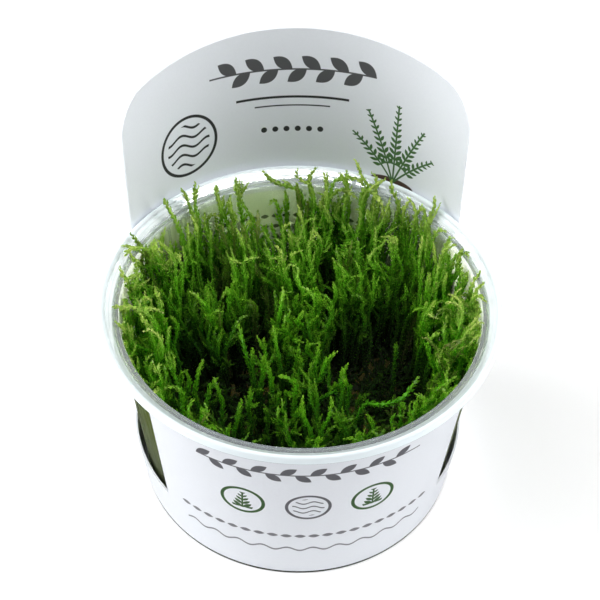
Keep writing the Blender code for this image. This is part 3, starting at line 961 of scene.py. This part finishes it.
def card_blank():
    """The card as a grid on the cup's cone, with a flat map of distances across and up it."""
    back_width = math.radians(BACK_HALF_ANGLE) * sleeve_inside(180.0, CUP_HEIGHT)
    front = [front_column(share) for share in panel_shares(FRONT_CORNER / FRONT_HALF_WIDTH)]
    back = [back_column(share) for share in panel_shares(BACK_CORNER / back_width)]
    gap = 180.0 - BACK_HALF_ANGLE - FRONT_HALF_ANGLE
    steps = [gap * step / SIDE_COLUMNS for step in range(1, SIDE_COLUMNS)]
    right = [(FRONT_HALF_ANGLE + step,) for step in steps]
    left = [(180.0 + BACK_HALF_ANGLE + step,) for step in steps]
    columns = [column_points(*column) for column in front + right + back + left]
    rows = BAND_ROWS + PANEL_ROWS + HEADER_ROWS

    def grid_place(point):
        """Where a point of the flat grid lies, counted in columns and rows."""
        return (point.x + 1.0) / 2.0 * len(columns), (point.y + 1.0) / 2.0 * rows

    def card_place(vert):
        column, row = grid_place(vert.co)
        return columns[round(column) % len(columns)][round(row)]

    bpy.ops.object.select_all(action="DESELECT")
    bpy.ops.mesh.primitive_grid_add(x_subdivisions=len(columns), y_subdivisions=rows, size=2.0)
    piece = bpy.context.object
    piece.name = piece.data.name = "card_sleeve"
    shape = bmesh.new()
    shape.from_mesh(piece.data)
    cut = []
    for face in shape.faces:
        column, row = grid_place(face.calc_center_median())
        sides = columns[int(column)], columns[(int(column) + 1) % len(columns)]
        if row > min(len(side) for side in sides) - 1:
            cut.append(face)
    bmesh.ops.delete(shape, geom=cut, context="FACES")
    flat = shape.loops.layers.uv.new("flat_card")
    for face in shape.faces:
        column = int(grid_place(face.calc_center_median())[0])
        centre = 180.0 if 90.0 < columns[column][0][0] < 270.0 else 0.0
        for loop in face.loops:
            angle, height = card_place(loop.vert)
            turn = math.radians((angle - centre + 180.0) % 360.0 - 180.0)
            loop[flat].uv = (turn * sleeve_inside(angle, height) * MM, height * MM)
    for vert in shape.verts:
        angle, height = card_place(vert)
        radius = sleeve_inside(angle, height)
        turn = math.radians(angle + SLEEVE_TURN)
        vert.co = (radius * math.sin(turn) * MM, -radius * math.cos(turn) * MM, height * MM)
    bmesh.ops.remove_doubles(shape, verts=shape.verts, dist=1e-7)
    bmesh.ops.recalc_face_normals(shape, faces=shape.faces)
    shape.to_mesh(piece.data)
    shape.free()
    return piece


def stroke(distance, width):
    """A line of ink round the places where the distance is nothing."""
    return (width / 2 - abs(distance)).ramp(-INK_EDGE, INK_EDGE)


def turned(across, up, degrees):
    """The same place measured along and beside an axis at that angle."""
    turn = math.radians(degrees)
    return (across * math.cos(turn) + up * math.sin(turn),
            up * math.cos(turn) - across * math.sin(turn))


def leaf(along, beside, length, width):
    """A pointed leaf from the origin."""
    share = along / length
    return (share * (1.0 - share) * (2.0 * width) - abs(beside)).ramp(-INK_EDGE, INK_EDGE)


def vine(across, up, half_length, pitch, length, width):
    """A stem with leaves on alternate sides."""
    ink = stroke(up, 0.45) * stroke(across, 2 * half_length)
    for side, shift in ((1.0, 0.0), (-1.0, pitch / 2)):
        moved = across + shift
        leaves = leaf(*turned(moved % pitch, up * side, 36.0), length, width)
        ink = ink.most(leaves * stroke(moved - shift, 2 * half_length - 2 * shift))
    return ink


def frond(across, up, length, size, bare=0.0):
    """An upright stem with pairs of leaves that grow smaller to its tip."""
    ink = stroke(across, 0.5)
    leafy = up.ramp(bare - 0.1, bare + 0.1)
    for shift in (0.0, 1.0):
        local = (up + shift * size) % (2.0 * size)
        small = 1.0 - (up - local) / length * 0.7
        along, beside = turned(local, abs(across), 46.0)
        ink = ink.most(leaf(along / small, beside / small, 2.0 * size, 0.75 * size) * leafy)
    return ink * stroke(up - length / 2, length)


def printed_card(name, front_motifs, back_motifs):
    """White card with motifs, each a list of masks and their inks."""
    finish = Finish(name)
    fibre = finish.noise(finish.place(), 0.0006, 3.0)
    across, up, _ = finish.parts(finish.node("ShaderNodeUVMap", {"uv_map": "flat_card"}))
    across, up = across / MM, up / MM
    colour = finish.mixed(fibre, *CARD_WHITES)
    facing = finish.parts(finish.place())[1] < 0.0
    for motifs, shown in ((front_motifs, facing), (back_motifs, 1.0 - facing)):
        for motif, ink in motifs:
            colour = finish.mixed(motif(across, up) * shown, colour, ink)
    finish.surface(Base_Color=colour, Roughness=fibre * 0.1 + 0.38)
    finish.relief(fibre, 0.00001)
    return finish.material


def garland(across, up):
    return vine(across, up - 47.5, half_length=28.0, pitch=7.0, length=4.8, width=2.4)


def leaf_roundels(across, up):
    """Two green rings with a sprig in each."""
    spot = abs(across) - 16.0
    ring = stroke(from_middle(spot, up - 33.0) - 5.2, 0.9)
    return ring.most(frond(spot, up - 29.6, length=7.0, size=1.6))


def wave_roundel(across, up):
    """A grey ring with three ripples."""
    radius = from_middle(across, up - 33.0)
    ripple = (up - across.maths("SINE", across * 1.3) * 0.5 - 31.95) % 2.1 - 1.05
    ripples = stroke(ripple, 0.5) * (radius < 3.9)
    return stroke(radius - 5.2, 0.8).most(ripples)


def leaf_row(across, up):
    """A row of small leaves, one behind another."""
    return leaf(across % 3.4 - 0.3, up - 19.0, 2.9, 1.5) * stroke(across, 68.0)


def wavy_line(across, up):
    return stroke(up - across.maths("SINE", across) * 0.7 - 12.5, 0.7) * stroke(across, 64.0)


def header_vine(across, up):
    return vine(across, up - 86.5, half_length=22.2, pitch=7.4, length=6.2, width=3.2)


def header_rules(across, up):
    """Two thin rules and a row of dots under them."""
    rules = stroke(up - 78.5, 0.7) * stroke(across, 30.0)
    rules = rules.most(stroke(up - 76.0, 0.4) * stroke(across, 20.0))
    dots = stroke(from_middle(across % 3.0 - 1.5, up - 69.0), 1.6)
    return rules.most(dots * stroke(across, 18.0))


def header_pool(across, up):
    """A dark ring with ripples in it."""
    spot, level = across - 29.0, up - 70.0
    radius = from_middle(spot, level)
    ripple = (level - spot.maths("SINE", spot * 0.8) * 0.8 + 1.4) % 2.8 - 1.4
    return stroke(radius - 8.2, 0.8).most(stroke(ripple, 0.7) * (radius < 6.4))


def header_fronds(across, up):
    """Five arching fronds that fan out from one foot."""
    ink = None
    for lean, length in ((54.0, 17.0), (73.0, 21.0), (92.0, 23.0), (111.0, 20.0), (130.0, 16.0)):
        along, beside = turned(across + 28.0, up - 57.5, lean)
        arched = beside + along * along * 0.0002 * (92.0 - lean)
        drawn = frond(arched, along, length, size=1.7, bare=5.5)
        ink = drawn if ink is None else ink.most(drawn)
    return ink


def header_soil(across, up):
    """The flat heap at the foot of the fronds."""
    return 1.0 - from_middle((across + 28.0) / 6.5, (up - 57.5) / 1.5).ramp(0.9, 1.0)


def hidden_rows(across, up):
    """Rows of small leaves low on the inside, behind the cup."""
    rows = stroke(up - 38.5, 13.0) * stroke(across, 44.0)
    return leaf(across % 3.0 - 0.3, up % 3.4 - 1.7, 2.4, 1.2) * rows


sleeve = card_blank()
for side, front_motifs, back_motifs in (
        ("outside", ((garland, GREY_INK), (leaf_roundels, GREEN_INK), (wave_roundel, GREY_INK),
                     (leaf_row, PALE_INK), (wavy_line, PALE_INK)), ()),
        ("inside", (), ((header_vine, SOFT_INK), (header_rules, BLACK_INK),
                        (header_pool, BLACK_INK), (header_soil, BROWN_INK),
                        (header_fronds, GREEN_INK), (hidden_rows, GREY_INK))),
        ("edge", (), ())):
    sleeve.data.materials.append(printed_card(f"white_card_{side}", front_motifs, back_motifs))
thickness = sleeve.modifiers.new("Card", "SOLIDIFY")
thickness.thickness = CARD * MM
thickness.offset = 1.0
thickness.use_even_offset = True
thickness.material_offset = 1
thickness.material_offset_rim = 2
bpy.context.view_layer.objects.active = sleeve
bpy.ops.object.modifier_apply(modifier="Card")
bpy.ops.object.shade_smooth_by_angle(angle=math.radians(40))
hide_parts("sleeve")
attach(sleeve, "root")


# The studio
# A plain pale floor under soft light: a broad panel overhead, a panel on each side, and a camera
# that looks down on the cup from the photo's place.

CAMERA_AT = Vector((0.0, -0.274379, 0.345621))
CAMERA_TO = Vector((-0.000286, 0.0, 0.058119))
CAMERA_ROLL = 1.56
CAMERA_LENS = 96.0
FLOOR_SIZE = 6.0
FLOOR_GLOW = 0.08
# A painted shadow: a dark ring of floor, in its colour and its glow, under the narrow gap between
# the cup's foot and the card
GAP_FROM = (0.0386, 0.0392)
GAP_TO = (0.0411, 0.0413)
GAP_SHADE = (0.03, 0.04, 0.02)
SKY = (0.93, 0.97, 1.0, 1.0)
SKY_STRENGTH = 0.12

bpy.ops.object.select_all(action="DESELECT")
bpy.ops.mesh.primitive_plane_add(size=FLOOR_SIZE, location=(0.0, 0.0, -0.0002))
floor = bpy.context.object
floor.name = "studio_floor"
paper = Finish("studio_paper")
grain = paper.noise(paper.place(), 0.01)
beside, beyond, _ = paper.parts(paper.place())
out = from_middle(beside, beyond)
# Painted shadow under the gap between cup and card
gap = out.ramp(*GAP_FROM) * (1.0 - out.ramp(*GAP_TO))
paper.surface(Base_Color=paper.mixed(gap, (0.97, 0.97, 0.97), GAP_SHADE),
              Emission_Color=paper.mixed(gap, (1.0, 1.0, 1.0), GAP_SHADE),
              Roughness=grain * 0.1 + 0.75, Emission_Strength=FLOOR_GLOW)
floor.data.materials.append(paper.material)
floor.visible_glossy = False


def soft_panel(name, place, size, power, shines=True):
    """A rectangular light that faces the middle of the cup, or is only seen in its gloss."""
    lamp = bpy.data.lights.new(name, "AREA")
    lamp.shape = "RECTANGLE"
    lamp.size, lamp.size_y = size
    lamp.energy = power
    made = in_scene(name, lamp)
    made.location = place
    made.visible_diffuse = shines
    away = Vector(place) - Vector((0.0, 0.0, 0.04))
    made.rotation_euler = away.to_track_quat("Z", "Y").to_euler()


soft_panel("overhead_panel", (0.0, -0.2, 1.0), (1.8, 0.35), 6.0)
soft_panel("left_panel", (-1.0, 0.05, 0.55), (0.8, 0.8), 14.0)
soft_panel("right_panel", (1.0, 0.05, 0.55), (0.8, 0.8), 9.6)
soft_panel("front_card", (0.17, -0.42, 1.07), (1.7, 0.42), 60.0, shines=False)

world = bpy.data.worlds.new("studio")
world.use_nodes = True
sky = world.node_tree.nodes["Background"].inputs
sky["Color"].default_value = SKY
sky["Strength"].default_value = SKY_STRENGTH
bpy.context.scene.world = world
bpy.context.scene.view_settings.view_transform = "Standard"

camera_data = bpy.data.cameras.new("camera")
camera_data.lens = CAMERA_LENS
camera_data.clip_start = 0.01
camera = in_scene("camera", camera_data)
aim = (CAMERA_TO - CAMERA_AT).to_track_quat("-Z", "Y").to_matrix().to_4x4()
roll = Matrix.Rotation(math.radians(CAMERA_ROLL), 4, "Z")
camera.matrix_world = Matrix.Translation(CAMERA_AT) @ aim @ roll
bpy.context.scene.camera = camera
